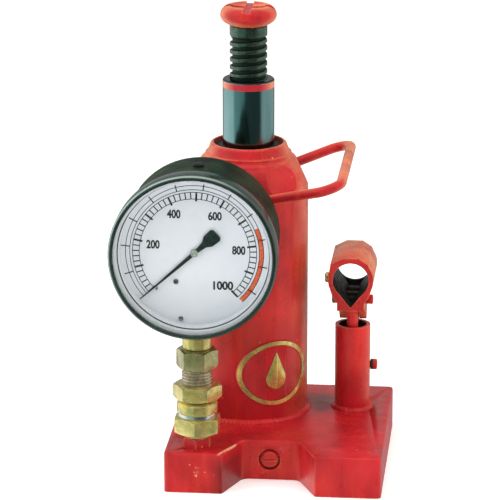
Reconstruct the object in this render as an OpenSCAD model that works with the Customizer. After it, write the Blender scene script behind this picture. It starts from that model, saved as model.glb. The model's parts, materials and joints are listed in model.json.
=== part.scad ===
// Ten-tonne hydraulic bottle jack: a hand pump, a lifting ram and a pressure gauge on one base.
// Millimetres. The origin is on the base's underside, below the ram's axis.
// +Z is up, -Y is the side the gauge faces, +X is the side the hand pump stands on.

/* [Part] */
// Which sub-part to build, or all of them

/* [Base] */
// Height of the base casting
base_height = 28.6; // [24:0.1:34]
// Left face of the base casting, from the ram's axis
base_left = -48.1; // [-60:0.1:-46]
// Right face of the base casting, from the ram's axis
base_right = 100.3; // [95:0.1:110]
// Front face of the base casting, from the ram's axis
base_front = -107; // [-115:0.1:-100]
// Back face of the base casting, from the ram's axis
base_back = 51; // [48:0.1:58]
// Radius of the base casting's upright corners
base_corner = 3.2; // [1:0.1:8]
// Radius of the two inner corners of the step in the base's front
recess_corner = 7; // [2:0.1:9]
// Front face of the step that the release valve sits in
recess_face = -75.3; // [-80:0.1:-70]

/* [Tank and ram] */
// Outer radius of the oil tank
tank_radius = 41.7; // [38:0.1:46]
// Height at which the tank tube ends and its head begins
tank_top = 191.5; // [180:0.1:200]
// Height of the top rim of the tank head
head_top = 221.6; // [215:0.1:228]
// Radius of the lifting ram
ram_radius = 18; // [16:0.1:19]
// Height of the ram's top face in the modelled pose
ram_top = 266.7; // [222:0.1:300]
// Bore radius of the pressure cylinder
cylinder_bore = 19; // [18.5:0.1:20]
// Distance of the head's six sloping flats from the axis, at the head's widest height
head_flat = 39.6; // [38.8:0.1:41]

/* [Extension screw] */
// Major radius of the extension screw's thread
screw_radius = 13; // [10:0.1:14]
// Root radius of the extension screw's thread
screw_root = 11.2; // [8:0.1:12]
// Distance from one thread crest to the next
screw_pitch = 5.5; // [4:0.1:7]
// Height of the saddle's underside in the modelled pose
saddle_base = 304.5; // [268:0.1:320]

/* [Hand pump] */
// Distance of the pump column's axis to the right of the ram
pump_x = 73.5; // [70:0.1:80]
// Outer radius of the pump column
column_radius = 12.4; // [11:0.1:14]
// Height of the pump column's mouth
column_top = 89.8; // [80:0.1:95]
// Radius of the pump plunger
plunger_radius = 4; // [3:0.1:5]
// Height of the two pins that carry the lever socket
pin_height = 109.3; // [105:0.1:115]
// Distance between the plunger's pin and the link's pin
pin_spacing = 14; // [12:0.1:16]
// Radius of the lever socket's bore
socket_bore = 12.5; // [11:0.1:14]
// Height of the lever socket's bore axis
socket_height = 129.6; // [125:0.1:135]

/* [Gauge] */
// Distance of the gauge's axis from the ram's axis, negative to the left
gauge_x = -26.5; // [-35:0.1:-20]
// Height of the gauge's axis
gauge_height = 170; // [160:0.1:180]
// Outer radius of the gauge bezel
bezel_radius = 57; // [53:0.1:60]
// Angle of the resting pointer, counter-clockwise from +X as seen from the front
pointer_rest = 222; // [215:0.5:228]
// Distance of the dial's face in front of the ram's axis
dial_face = 104.3; // [104.3:0.1:109]

/* [Carry handle] */
// Radius of the handle's round bar
handle_radius = 3.5; // [2.5:0.1:4]
// Angle by which the handle rises towards the right
handle_tilt = 17.2; // [10:0.1:22]
// Distance from the tank's axis to the handle's end bar, along the slope
handle_reach = 71.5; // [68:0.1:80]
// Angle by which the handle's arms spread
handle_flare = 24; // [10:0.5:28]

/* [Hidden] */
$fn = 96;
gap = 0.05;
port_y = -91.75;
vent_y = -77;
column_y = 4.3;
column_bore = column_radius - 2.5;
link_foot_y = 9;
link_foot_z = 58.6;
pin_radius = 2.5;
valve_x = 21.6;
valve_z = 14.5;
suction_x = 32;
discharge_x = 56;
relief_x = -15;
cross_y = 14;
cross_z = 13.5;
feed_z = 9;
ball_radius = 3;
handle_arm_y = tank_radius + handle_radius + 0.1;
sector_distance = 27.5;
red = [0.75, 0.12, 0.14];
steel = [0.55, 0.57, 0.6];
dark_steel = [0.16, 0.19, 0.18];
brass = [0.78, 0.66, 0.3];
black = [0.06, 0.07, 0.07];
rubber = [0.08, 0.08, 0.08];
copper = [0.75, 0.45, 0.25];

// ---- Helpers ----

// A plain cylinder between two heights.
module post(radius, low, high) {
    translate([0, 0, low]) cylinder(r = radius, h = high - low);
}

// A ring between two heights.
module ring(outer, inner, low, high) {
    difference() {
        post(outer, low, high);
        post(inner, low - 1, high + 1);
    }
}

// Puts children on an axis that runs towards the front: local z is distance to the front.
module facing_front(x, z) {
    translate([x, 0, z]) rotate([90, 0, 0]) children();
}

// Puts children on an axis that runs to the right: local z is x.
module facing_right(y, z) {
    translate([0, y, z]) rotate([90, 0, 90]) rotate([0, 0, 90]) children();
}

// Extrudes a (y, z) outline from x = left to x = right.
module yz_plate(left, right) {
    translate([left, 0, 0]) rotate([90, 0, 90]) linear_extrude(right - left) children();
}

// A hexagon bar with turned chamfers, flats facing the front unless turned by 30.
module hex_bar(across_flats, low, high, bottom_chamfer = 1, top_chamfer = 1, turn = 0) {
    corner = across_flats / 2 / cos(30);
    slope = 2;
    intersection() {
        rotate([0, 0, turn]) translate([0, 0, low]) cylinder(r = corner, h = high - low, $fn = 6);
        rotate_extrude() polygon([
            [0, low],
            [corner - bottom_chamfer * slope, low],
            [corner + 0.01, low + bottom_chamfer],
            [corner + 0.01, high - top_chamfer],
            [corner - top_chamfer * slope, high],
            [0, high]
        ]);
    }
}

// The outline of a stack of thread ridges, for turning about the axis.
module ridge_outline(root, crest, pitch, low, count, crest_width, foot_width) {
    for (turn = [0 : count - 1]) {
        middle = low + (turn + 0.5) * pitch;
        polygon([
            [root - 0.4, middle - foot_width / 2],
            [root, middle - foot_width / 2],
            [crest, middle - crest_width / 2],
            [crest, middle + crest_width / 2],
            [root, middle + foot_width / 2],
            [root - 0.4, middle + foot_width / 2]
        ]);
    }
}

// A coil spring on the z axis, as one closed skin around a helix.
module coil(radius, wire, low, high, turns, per_turn = 18) {
    sides = 8;
    steps = turns * per_turn;
    rise = high - low - 2 * wire;
    points = [
        for (step = [0 : steps])
            let (angle = 360 * step / per_turn, height = low + wire + rise * step / steps)
                for (side = [0 : sides - 1])
                    let (reach = radius + wire * cos(360 * side / sides))
                        [reach * cos(angle), reach * sin(angle), height + wire * sin(360 * side / sides)]
    ];
    skin = [
        for (step = [0 : steps - 1])
            for (side = [0 : sides - 1])
                let (next = (side + 1) % sides)
                    [step * sides + side, (step + 1) * sides + side, (step + 1) * sides + next, step * sides + next]
    ];
    start_cap = [[for (side = [0 : sides - 1]) side]];
    end_cap = [[for (side = [sides - 1 : -1 : 0]) steps * sides + side]];
    polyhedron(points, concat(skin, start_cap, end_cap), convexity = 10);
}

// ---- Base ----

// The base seen from above: a rounded rectangle with a tapered step in its front.
module base_outline() {
    difference() {
        union() {
            translate([base_left + base_corner, base_front])
                square([base_right - base_left - 2 * base_corner, base_back - base_front]);
            translate([base_left, base_front + base_corner])
                square([base_right - base_left, base_back - base_front - 2 * base_corner]);
            for (x = [base_left + base_corner, base_right - base_corner])
                for (y = [base_front + base_corner, base_back - base_corner])
                    translate([x, y]) circle(r = base_corner);
        }
        hull() {
            translate([8.1, recess_face - recess_corner]) circle(r = recess_corner);
            translate([37.2, recess_face - recess_corner]) circle(r = recess_corner);
            polygon([[-12, -117.3], [-12.4, -118.3], [60.1, -118.3], [59.7, -117.3]]);
        }
    }
}

// Every drilled passage and pocket inside the base.
module base_drillings() {
    // Seats of the cylinder barrel, the tank tube, the pump column and the pump barrel
    post(25 + gap, 18, base_height + 1);
    ring(tank_radius + gap, tank_radius - 3 - gap, 26.6, base_height + 1);
    translate([pump_x, column_y]) {
        post(column_radius + gap, 20, base_height + 1);
        post(column_bore - gap, 14, 21);
    }
    // Suction valve pocket, its inlet from the tank, and the feed gallery to the pump
    translate([suction_x, 0]) {
        post(4.2, -1, 16);
        post(1.6, 15, base_height + 1);
    }
    translate([pump_x, 0]) post(2, feed_z, 15);
    facing_right(0, feed_z) post(2, suction_x, base_right + 1);
    // Discharge valve bore and its seat
    facing_front(discharge_x, feed_z) {
        post(4.2, -base_back - 1, -6);
        post(1.6, -7, 0);
    }
    // Cross gallery under the cylinder, and the passage up into the cylinder
    facing_right(cross_y, cross_z) post(2, base_left - 1, discharge_x);
    translate([10, cross_y]) post(2, cross_z, 19);
    // Gauge gallery and the threaded gauge port
    facing_front(gauge_x, cross_z) post(2, -base_back - 1, -port_y);
    translate([gauge_x, port_y]) {
        post(2, cross_z, 19);
        post(6 + gap, 18, base_height + 1);
    }
    // Relief valve pocket, its seat, and its drain to the tank
    translate([relief_x, cross_y]) {
        post(2.6, -1, 10);
        post(1, 9, cross_z);
    }
    facing_front(relief_x, 8.5) post(1.2, -base_back - 1, -cross_y);
    translate([relief_x, 31]) post(1.6, 8.5, base_height + 1);
    // Release valve bore, its seat, and its return to the tank
    facing_front(valve_x, valve_z) {
        post(7.7, 71.8, 80);
        post(5 + gap, 38, 110);
        post(3.6, 27, 39);
        post(1.8, -cross_y, 28);
    }
    translate([valve_x, -29]) post(1.8, valve_z, base_height + 1);
}

module base_casting() {
    color(red) difference() {
        linear_extrude(base_height) base_outline();
        base_drillings();
    }
}

// Weld fillets round the foot of the tank and of the column, and along the carry handle's arms.
module weld_beads() {
    color(red) {
        rotate_extrude() polygon([
            [tank_radius + gap, base_height + gap],
            [tank_radius + 3, base_height + gap],
            [tank_radius + 2.3, base_height + 1.3],
            [tank_radius + 1.1, base_height + 2.6],
            [tank_radius + gap, base_height + 3.1]
        ]);
        translate([pump_x, column_y]) rotate_extrude() polygon([
            [column_radius + gap, base_height + gap],
            [column_radius + 2.8, base_height + gap],
            [column_radius + 2.1, base_height + 1.2],
            [column_radius + 1, base_height + 2.4],
            [column_radius + gap, base_height + 2.9]
        ]);
        for (side = [-1, 1])
            difference() {
                translate([-3, side * (tank_radius + 1), 184.6])
                    rotate([0, -handle_tilt, 0]) cube([17, 4, 9.6], center = true);
                post(tank_radius + gap, 150, 210);
                handle_bar(handle_radius + gap);
            }
    }
}

// Turned plugs that close the drilled galleries and the suction pocket.
module gallery_plugs() {
    color(steel) {
        facing_right(0, feed_z) post(2 - gap, 92, base_right - 0.5);
        facing_right(cross_y, cross_z) post(2 - gap, base_left + 0.5, -40);
        facing_front(gauge_x, cross_z) post(2 - gap, 0.5 - base_back, -43);
        facing_front(relief_x, 8.5) post(1.2 - gap, 0.5 - base_back, -43);
        translate([suction_x, 0]) difference() {
            post(4.2 - gap, 0.6, 4.6);
            translate([0, 0, -1]) cylinder(r = 2.3, h = 3.6, $fn = 6);
        }
    }
}

module suction_ball() {
    color(steel) translate([suction_x, 0, 13.4]) sphere(r = ball_radius);
}

module suction_spring() {
    color(steel) translate([suction_x, 0, 0]) coil(2.6, 0.4, 4.65, 10.35, 4);
}

module oil_strainer() {
    color(copper) translate([suction_x, 0]) difference() {
        post(3.2, base_height + gap, 32);
        post(2.7, base_height - 1, 31.4);
        for (turn = [0 : 5])
            rotate([0, 0, turn * 60]) translate([0, 0, 30]) rotate([0, 90, 0]) cylinder(r = 0.7, h = 5);
    }
}

module discharge_ball() {
    color(steel) translate([discharge_x, 8.6, feed_z]) sphere(r = ball_radius);
}

module discharge_spring() {
    color(steel) facing_front(discharge_x, feed_z) coil(2.6, 0.4, -19.95, -11.65, 5);
}

module discharge_plug() {
    color(steel) facing_front(discharge_x, feed_z) difference() {
        post(4.2 - gap, 0.6 - base_back, -20);
        translate([0, 0, -base_back]) cylinder(r = 2.6, h = 6, $fn = 6);
    }
}

module relief_ball() {
    color(steel) translate([relief_x, cross_y, 8.85]) sphere(r = 1.5);
}

module relief_spring() {
    color(steel) translate([relief_x, cross_y, 0]) coil(1.5, 0.3, 4.1, 7.3, 4);
}

module relief_screw() {
    color(steel) translate([relief_x, cross_y]) difference() {
        post(2.6 - gap, 0.6, 4.05);
        translate([0, 0, 1]) cube([6, 0.8, 2], center = true);
    }
}

// ---- Release valve ----

module release_ball() {
    color(steel) facing_front(valve_x, valve_z) translate([0, 0, 29.45]) sphere(r = ball_radius);
}

// A needle screw with ring ridges for its thread and a slotted round head.
module release_screw() {
    color(red) facing_front(valve_x, valve_z) difference() {
        union() {
            post(3.3, 32.5, 41);
            post(4.3, 40, 73);
            rotate_extrude() ridge_outline(4.3, 5, 1.5, 42, 16, 0.3, 1.2);
            post(4.9, 67, 71.6);
            rotate_extrude() polygon([[0, 72.1], [5.4, 72.1], [5.9, 72.6], [5.9, 74.6], [4.9, 75.6], [0, 76]]);
        }
        translate([0, 0, 75.8]) cube([14, 1.6, 2.4], center = true);
    }
}

// ---- Tank and lifting cylinder ----

// Six blocks that cut sloping flats into the head and the top edge of the tank.
module head_flats() {
    lean = 24;
    for (turn = [43 : 60 : 343])
        rotate([0, 0, turn]) translate([0, -head_flat, 195]) rotate([-lean, 0, 0])
            translate([-25, -20, -12]) cube([50, 20, 28]);
}

module tank_tube() {
    color(red) difference() {
        ring(tank_radius, tank_radius - 3, 26.65, tank_top);
        translate([0, 0, 165]) rotate([-90, 0, 0]) cylinder(r = 5 + gap, h = 60);
        head_flats();
    }
}

// The tank's forged head: a shoulder with six sloping flats, a step and a rim round the wiper.
module tank_head() {
    color(red) difference() {
        rotate_extrude() polygon([
            [0, 184], [tank_radius - 3 - gap, 184], [tank_radius - 3 - gap, tank_top + gap],
            [tank_radius, tank_top + gap], [tank_radius - 0.2, 193.5], [40.7, 196.6],
            [39.4, 200], [37.6, 204], [35.6, 207.2],
            [33.8, 209.2], [33, 210.6], [30.8, 212.2], [30.2, 213.4], [30, 214.6],
            [28.6, 215.2], [28.1, 216.2], [26.6, 220.6], [25.6, head_top], [0, head_top]
        ]);
        head_flats();
        post(25 + gap, 183, 206);
        post(21, 205, 217);
        post(24.25, 216, 230);
    }
}

module filler_plug() {
    color(rubber) translate([0, 0, 165]) rotate([-90, 0, 0]) {
        post(5, 37.5, 43);
        rotate_extrude() polygon([[0, 42.4], [7.5, 42.4], [7.5, 43.6], [6.6, 45], [0, 45]]);
    }
}

module cylinder_barrel() {
    color(steel) ring(25, cylinder_bore, 19.05, 205.95);
}

module cylinder_gasket() {
    color(copper) ring(24.9, cylinder_bore + 0.1, 18.05, 19);
}

module guide_bush() {
    color(brass) ring(20.95, ram_radius + 0.06, 206, 213.5);
}

module rod_seal() {
    color(rubber) ring(20.9, ram_radius + 0.05, 213.55, 215.95);
}

// The wiper fills the rim of the tank head, with a raised lip against the ram.
module ram_wiper() {
    color(rubber) rotate_extrude() polygon([
        [ram_radius + 0.05, 216.05], [24.2, 216.05], [24.2, 218.6], [20.4, 218.6],
        [19, 219.9], [ram_radius + 0.05, 219.9]
    ]);
}

module ram() {
    color(dark_steel) difference() {
        rotate_extrude() polygon([
            [0, 64.5], [18.2, 64.5], [18.95, 65.2], [18.95, 80], [ram_radius, 80.6],
            [ram_radius, ram_top - 0.8], [ram_radius - 0.8, ram_top], [0, ram_top]
        ]);
        ring(20, 16, 68, 71);
        post(screw_radius + 0.3, ram_top - 97, ram_top + 1);
    }
}

module piston_seal() {
    color(rubber) ring(18.96, 16 + gap, 68 + gap, 71 - gap);
}

// ---- Extension screw and saddle ----

// Ring ridges stand in for the one-start thread, at its pitch.
module extension_screw() {
    color(dark_steel) rotate_extrude() union() {
        polygon([
            [0, 212], [9.4, 212], [screw_root, 213.1], [screw_root, 297], [screw_radius - 0.4, 297],
            [screw_radius, 297.4], [screw_radius, saddle_base - 0.1], [8, saddle_base - 0.1],
            [8, 311], [7.4, 311.6], [0, 311.6]
        ]);
        ridge_outline(screw_root, screw_radius, screw_pitch, 213.7, 15, 1.7, 2.8);
    }
}

// A mushroom head with a flat ring, a shallow dish and two crossed grooves on top.
module saddle() {
    color(red) difference() {
        rotate_extrude() polygon([
            [0, saddle_base], [12.6, saddle_base], [13.4, 304.8], [15.6, 305.9], [17.6, 307.3],
            [18.9, 309], [19.45, 310.6], [19.5, 311.8], [19.2, 313.5], [18.4, 315.1],
            [17.2, 316.4], [15.8, 317.4], [14.6, 317.8], [12.4, 317.8], [11, 317], [0, 316.2]
        ]);
        post(8 + gap, saddle_base - 1, 311.8);
        for (turn = [0, 90])
            rotate([0, 0, turn]) translate([0, 0, 317.4]) cube([50, 5.4, 3.4], center = true);
    }
}

// ---- Carry handle and badge ----

// The bent handle bar at a given radius, on a slope: two arms that run along the tank, turn
// outwards at an elbow, and meet the end bar at two corners. The straight lengths are a hair
// slimmer than the bends, and end inside them.
module handle_bar(radius) {
    elbow_x = 18;
    elbow = 20;
    corner = 12;
    lap = 0.8;
    spread_x = elbow_x + elbow * sin(handle_flare);
    spread_y = handle_arm_y + elbow * (1 - cos(handle_flare));
    spread = (handle_reach - corner * (1 + sin(handle_flare)) - spread_x) / cos(handle_flare);
    corner_y = spread_y + spread * sin(handle_flare) - corner * cos(handle_flare);
    translate([0, 0, 185.5]) rotate([0, -handle_tilt, 0]) {
        for (side = [-1, 1]) {
            translate([0, side * handle_arm_y, 0])
                facing_right(0, 0) post(radius - gap, -12.5, elbow_x + lap);
            translate([elbow_x, side * (handle_arm_y + elbow), 0])
                rotate([0, 0, side > 0 ? -90 : 90 - handle_flare])
                    rotate_extrude(angle = handle_flare)
                        translate([elbow, 0]) circle(r = radius, $fn = 48);
            translate([spread_x, side * spread_y, 0]) rotate([0, 0, side * handle_flare])
                facing_right(0, 0) post(radius - gap, -lap, spread + lap);
            translate([handle_reach - corner, side * corner_y, 0])
                rotate([0, 0, side > 0 ? 0 : -90 - handle_flare])
                    rotate_extrude(angle = 90 + handle_flare)
                        translate([corner, 0]) circle(r = radius, $fn = 48);
        }
        translate([handle_reach, 0, 0])
            facing_front(0, 0) post(radius - gap, -corner_y - lap, corner_y + lap);
    }
}

module carry_handle() {
    color(red) handle_bar(handle_radius);
}

// An oval outline by its two half axes.
module oval(half_width, half_height) {
    polygon([for (turn = [0 : 5 : 355]) [half_width * cos(turn), half_height * sin(turn)]]);
}

// A curved oval plate with a raised rim and a raised drop in its middle.
module badge_plate() {
    color(brass) rotate([0, 0, 32.5]) {
        intersection() {
            ring(tank_radius + 0.8, tank_radius + gap, 30, 100);
            facing_front(0, 64.5) translate([0, 0, 20]) linear_extrude(40) oval(26.5, 23);
        }
        intersection() {
            ring(tank_radius + 1.4, tank_radius + 0.7, 30, 100);
            facing_front(0, 64.5) translate([0, 0, 20]) linear_extrude(40) difference() {
                oval(26.5, 23);
                oval(23.8, 20.3);
            }
        }
        intersection() {
            ring(tank_radius + 1.2, tank_radius + 0.7, 30, 100);
            facing_front(0, 64.5) translate([0, 0, 20]) linear_extrude(40) hull() {
                translate([0, -4]) circle(r = 7.5, $fn = 48);
                translate([0, 14]) circle(r = 0.6, $fn = 24);
            }
        }
    }
}

// ---- Hand pump ----

module pump_column() {
    color(red) difference() {
        translate([pump_x, column_y]) ring(column_radius, column_bore, 20.05, column_top);
        facing_right(link_foot_y, link_foot_z) post(pin_radius + gap, pump_x - 20, pump_x + 20);
    }
}

module pump_barrel() {
    color(steel) difference() {
        translate([pump_x, column_y]) post(column_bore - 0.1, 14.05, 52);
        translate([pump_x, 0]) {
            post(plunger_radius + gap, 17, 53);
            post(2, 13, 18);
        }
    }
}

module link_lower_pin() {
    color(dark_steel) facing_right(link_foot_y, link_foot_z) {
        post(pin_radius, pump_x - 11.6, pump_x + 13);
        rotate_extrude() polygon([
            [0, pump_x + 12.5], [3.8, pump_x + 12.5], [3.8, pump_x + 16.6], [3, pump_x + 17.4],
            [0, pump_x + 17.4]
        ]);
    }
}

// The plunger's eye is slotted, because the lever's pin moves a little front to back.
module pump_plunger() {
    color(steel) difference() {
        union() {
            translate([pump_x, 0]) post(plunger_radius, 24, 104);
            yz_plate(pump_x - 4, pump_x + 4) hull() {
                translate([-0.5, pin_height]) circle(r = 5.3);
                translate([0.5, pin_height]) circle(r = 5.3);
                translate([0, 101]) circle(r = 3.9);
            }
        }
        yz_plate(pump_x - 6, pump_x + 6) hull() {
            translate([-1, pin_height]) circle(r = 2.95);
            translate([1, pin_height]) circle(r = 2.95);
        }
        translate([pump_x, 0]) ring(6, 3, 27, 29.6);
    }
}

module plunger_seal() {
    color(rubber) translate([pump_x, 0]) ring(plunger_radius + 0.02, 3 + gap, 27 + gap, 29.6 - gap);
}

// A cranked link that carries the lever's fulcrum.
module pump_link() {
    color(red) difference() {
        union() {
            yz_plate(pump_x - 3, pump_x + 3) {
                translate([link_foot_y, link_foot_z]) circle(r = 4.6);
                hull() {
                    translate([link_foot_y, link_foot_z]) circle(r = 2.5);
                    translate([link_foot_y, 92]) circle(r = 2.5);
                }
            }
            yz_plate(pump_x - 4, pump_x + 4) hull() {
                translate([link_foot_y, 92]) circle(r = 2.5);
                translate([pin_spacing, pin_height]) circle(r = 3.6);
            }
            yz_plate(pump_x - 4, pump_x + 4) translate([pin_spacing, pin_height]) circle(r = 5.4);
        }
        facing_right(link_foot_y, link_foot_z) post(pin_radius + gap, 50, 100);
        facing_right(pin_spacing, pin_height) post(pin_radius + gap, 50, 100);
    }
}

// A strap wrapped round the lever's bore, with squared shoulders, a tear-drop opening, two long
// ears below, and a web that closes the opening at the back.
module lever_socket() {
    wall = 3.25;
    ear = 9.4;
    front = 25;
    back = 23;
    stop_face = 20.5;
    color(red) difference() {
        union() {
            facing_front(pump_x, socket_height) translate([0, 0, -back]) linear_extrude(front + back) {
                circle(r = socket_bore + wall);
                polygon([[-15.6, 3], [-14.2, 11.6], [-5.7, 15.9], [5.7, 15.9], [12, 11.6], [15.6, 3]]);
                polygon([
                    [-15.3, -3.8], [-12.6, -12], [-ear, -16.3], [-ear, -22],
                    [ear, -22], [ear, -16.3], [12.6, -12], [15.3, -3.8]
                ]);
            }
            yz_plate(pump_x - ear, pump_x + ear) {
                hull() {
                    translate([0, pin_height]) circle(r = 9);
                    translate([pin_spacing, pin_height]) circle(r = 9);
                }
                hull() {
                    translate([2, pin_height]) circle(r = 9);
                    translate([9, 98.4]) circle(r = 6);
                    translate([pin_spacing, pin_height]) circle(r = 9);
                }
            }
        }
        facing_front(pump_x, socket_height) post(socket_bore, -back - 1, front + 1);
        facing_front(pump_x, socket_height) translate([0, 0, -stop_face])
            linear_extrude(front + stop_face + 1) polygon([[-8.36, -9.29], [8.36, -9.29], [0, -19.7]]);
        translate([pump_x - 4.5, -7.6, 90]) cube([9, stop_face + 7.6, 26.4]);
        facing_right(0, pin_height) post(pin_radius + gap, 50, 100);
        facing_right(pin_spacing, pin_height) post(pin_radius + gap, 50, 100);
        facing_right(-17, socket_height) post(2 + gap, 50, pump_x - 10);
    }
}

// A pin through the lever's ears, with a cap of the given length and radius on each end.
module ear_pin(y, cap, cap_radius) {
    facing_right(y, pin_height) rotate_extrude() polygon([
        [0, pump_x - 9.5 - cap], [cap_radius - 0.6, pump_x - 9.5 - cap], [cap_radius, pump_x - 8.9 - cap],
        [cap_radius, pump_x - 9.5], [pin_radius, pump_x - 9.5], [pin_radius, pump_x + 9.5],
        [cap_radius, pump_x + 9.5], [cap_radius, pump_x + 8.9 + cap], [cap_radius - 0.6, pump_x + 9.5 + cap],
        [0, pump_x + 9.5 + cap]
    ]);
}

module plunger_pin() {
    color(dark_steel) ear_pin(0, 5, 3.4);
}

module link_pin() {
    color(dark_steel) ear_pin(pin_spacing, 1.4, 3.4);
}

module lever_lock_screw() {
    color(brass) facing_right(-17, socket_height) difference() {
        union() {
            post(2, pump_x - 17, pump_x - 12.8);
            rotate_extrude() polygon([
                [0, pump_x - 18.4], [2.6, pump_x - 18.4], [3.6, pump_x - 17.6],
                [3.6, pump_x - 15.85], [0, pump_x - 15.85]
            ]);
        }
        translate([0, 0, pump_x - 18.4]) cube([0.9, 9, 1.6], center = true);
    }
}

// ---- Gauge fittings, on one upright axis ----

module port_boss() {
    color(red) translate([gauge_x, port_y]) difference() {
        hex_bar(17.6, base_height + gap, 36.8, 0.4, 1, 30);
        post(6 + gap, 20, 40);
    }
}

module lower_fitting() {
    color(brass) translate([gauge_x, port_y]) difference() {
        union() {
            post(6, 18.1, 37.5);
            post(9.5, 36.9, 40.6);
            hex_bar(29.6, 39.9, 51, 1.3, 1.3, 30);
            post(6.5, 50, 62.5);
        }
        post(2, 17, 64);
    }
}

module sealing_washer() {
    color(steel) translate([gauge_x, port_y]) ring(13.2, 6.5 + gap, 51.05, 53.95);
}

module swivel_collar() {
    color(brass) translate([gauge_x, port_y]) rotate_extrude() polygon([
        [6.5 + gap, 54], [13.3, 54], [14, 54.7], [14, 60.4], [13, 61.6],
        [11, 62.8], [6.5 + gap, 62.8]
    ]);
}

module union_nut() {
    color(brass) translate([gauge_x, port_y]) difference() {
        hex_bar(29.5, 62.9, 74, 2.4, 1.2);
        post(6.5 + gap, 62, 70.5);
        post(9.5 + gap, 70.4, 75);
    }
}

module threaded_nipple() {
    color(brass) translate([gauge_x, port_y]) difference() {
        union() {
            rotate_extrude() union() {
                polygon([[0, 70.6], [9.4, 70.6], [9.4, 85.9], [0, 85.9]]);
                ridge_outline(9.4, 10.5, 2.3, 74.2, 5, 0.7, 2);
            }
            post(6, 85, 92);
        }
        post(2, 70, 93);
    }
}

module top_nut() {
    color(brass) translate([gauge_x, port_y]) difference() {
        hex_bar(25, 86, 99.4, 1.2, 1.4, -3);
        post(6 + gap, 85, 92.1);
        post(6.5 + gap, 92, 100);
    }
}

// The gauge's brass socket: a threaded end, a round neck and the block inside the case.
module gauge_socket() {
    color(brass) translate([gauge_x, port_y]) difference() {
        union() {
            post(6.5, 92.2, 100);
            rotate_extrude() polygon([
                [0, 99.5], [9.2, 99.5], [10, 100.3], [10, 126], [0, 126]
            ]);
            translate([-8, -6, 125]) cube([16, 12, 19]);
        }
        post(2, 92, 135);
    }
}

// ---- Gauge ----

// Puts children on the gauge's axis: local z is distance to the front.
module on_gauge() {
    facing_front(gauge_x, gauge_height) children();
}

module gauge_case() {
    outer = bezel_radius - 4;
    color(black) difference() {
        on_gauge() difference() {
            rotate_extrude() polygon([
                [0, 50], [outer - 3, 50], [outer - 1, 50.8], [outer, 52.6], [outer, 109], [outer + 1.9, 109],
                [outer + 1.9, 112], [outer - 2, 112], [outer - 2, 52], [0, 52]
            ]);
        }
        translate([gauge_x, port_y]) post(10 + gap, 100, 135);
        translate([gauge_x, vent_y]) post(2.4 + gap, 200, 230);
    }
}

module gauge_bezel() {
    seat = bezel_radius - 4 + gap;
    lip = bezel_radius - 3.5;
    color(black) on_gauge() rotate_extrude() polygon([
        [seat, 104], [bezel_radius - 1, 104], [bezel_radius, 105], [bezel_radius, 117.6],
        [bezel_radius - 0.8, 119.2], [bezel_radius - 2, 120], [lip + 0.7, 120], [lip, 119.3],
        [lip, 117.4], [seat + 1.9, 117.4], [seat + 1.9, 108.9], [seat, 108.9]
    ]);
}

module gauge_window() {
    color([0.8, 0.9, 0.9, 0.3]) on_gauge() post(bezel_radius - 2.2, 115.35, 117.35);
}

// A pale ring that seals the window against the case.
module window_gasket() {
    color([0.93, 0.94, 0.92]) on_gauge() ring(bezel_radius - 2.2, bezel_radius - 5.4, 112.05, 115.3);
}

// The dial, with its edge turned forward to meet the window's ring.
module dial_plate() {
    outer = bezel_radius - 6.2;
    color([0.93, 0.94, 0.92]) on_gauge() {
        ring(outer, 1.6, dial_face - 0.8, dial_face);
        ring(outer, outer - 0.8, dial_face - 0.8, 112);
    }
}

// Two cheese-head screws and the zero stop pin, standing on the dial.
module dial_fixings() {
    color(steel) on_gauge() {
        for (place = [[-12.6, -20.3], [-9.4, -46.4]])
            translate(place) difference() {
                post(1.7, dial_face + gap, dial_face + 0.8);
                translate([0, 0, dial_face + 0.9]) cube([4, 0.5, 0.8], center = true);
            }
        rotate([0, 0, pointer_rest + 2.9]) translate([36, 0]) post(0.7, dial_face + gap, dial_face + 2.1);
    }
}

// The flattened pressure tube, bent round the case, with its sealed tip.
module bourdon_tube() {
    color(brass) on_gauge() {
        difference() {
            rotate([0, 0, 283]) rotate_extrude(angle = 235) translate([35.5, 87]) square([5, 10]);
            rotate([0, 0, 283]) rotate_extrude(angle = 235) translate([36.3, 87.8]) square([3.4, 8.4]);
        }
        rotate([0, 0, 158.2]) translate([35, 0, 86.5]) cube([6, 5, 11]);
    }
}

// One plate of the movement, with holes for the pinion and sector shafts.
module movement_plate(low, high) {
    translate([0, 0, low]) linear_extrude(high - low) difference() {
        translate([-9.5, -38]) square([19, 46]);
        circle(r = 0.95);
        translate([0, -sector_distance]) circle(r = 1.25);
    }
}

module movement_frame() {
    color(brass) on_gauge() {
        movement_plate(98, 99.2);
        movement_plate(101.6, 102.6);
        for (place = [[-7.5, 5.5], [7.5, 5.5], [-7.5, -35.5], [7.5, -35.5]])
            translate(place) post(1.6, 99, 102);
    }
}

module movement_screws() {
    color(steel) on_gauge()
        for (place = [[-7.5, 5.5], [7.5, 5.5], [-7.5, -35.5], [7.5, -35.5]])
            translate(place) difference() {
                post(1.7, 102.65, 103.3);
                translate([0, 0, 103.3]) cube([4, 0.5, 0.6], center = true);
            }
}

// One gear tooth pointing along +X, with straight flanks and generous backlash.
module tooth(pitch_radius) {
    polygon([
        [pitch_radius - 0.7, -0.36], [pitch_radius, -0.25], [pitch_radius + 0.3, -0.14],
        [pitch_radius + 0.3, 0.14], [pitch_radius, 0.25], [pitch_radius - 0.7, 0.36]
    ]);
}

// Ten teeth of half-millimetre module, on the pointer's shaft.
module pinion_shaft() {
    color(steel) on_gauge() {
        post(0.9, 97.9, dial_face + 1.05);
        translate([0, 0, 99.6]) linear_extrude(1.6) {
            circle(r = 2.05);
            for (turn = [0 : 9])
                rotate(-90 + turn * 36) tooth(2.5);
        }
    }
}

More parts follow.
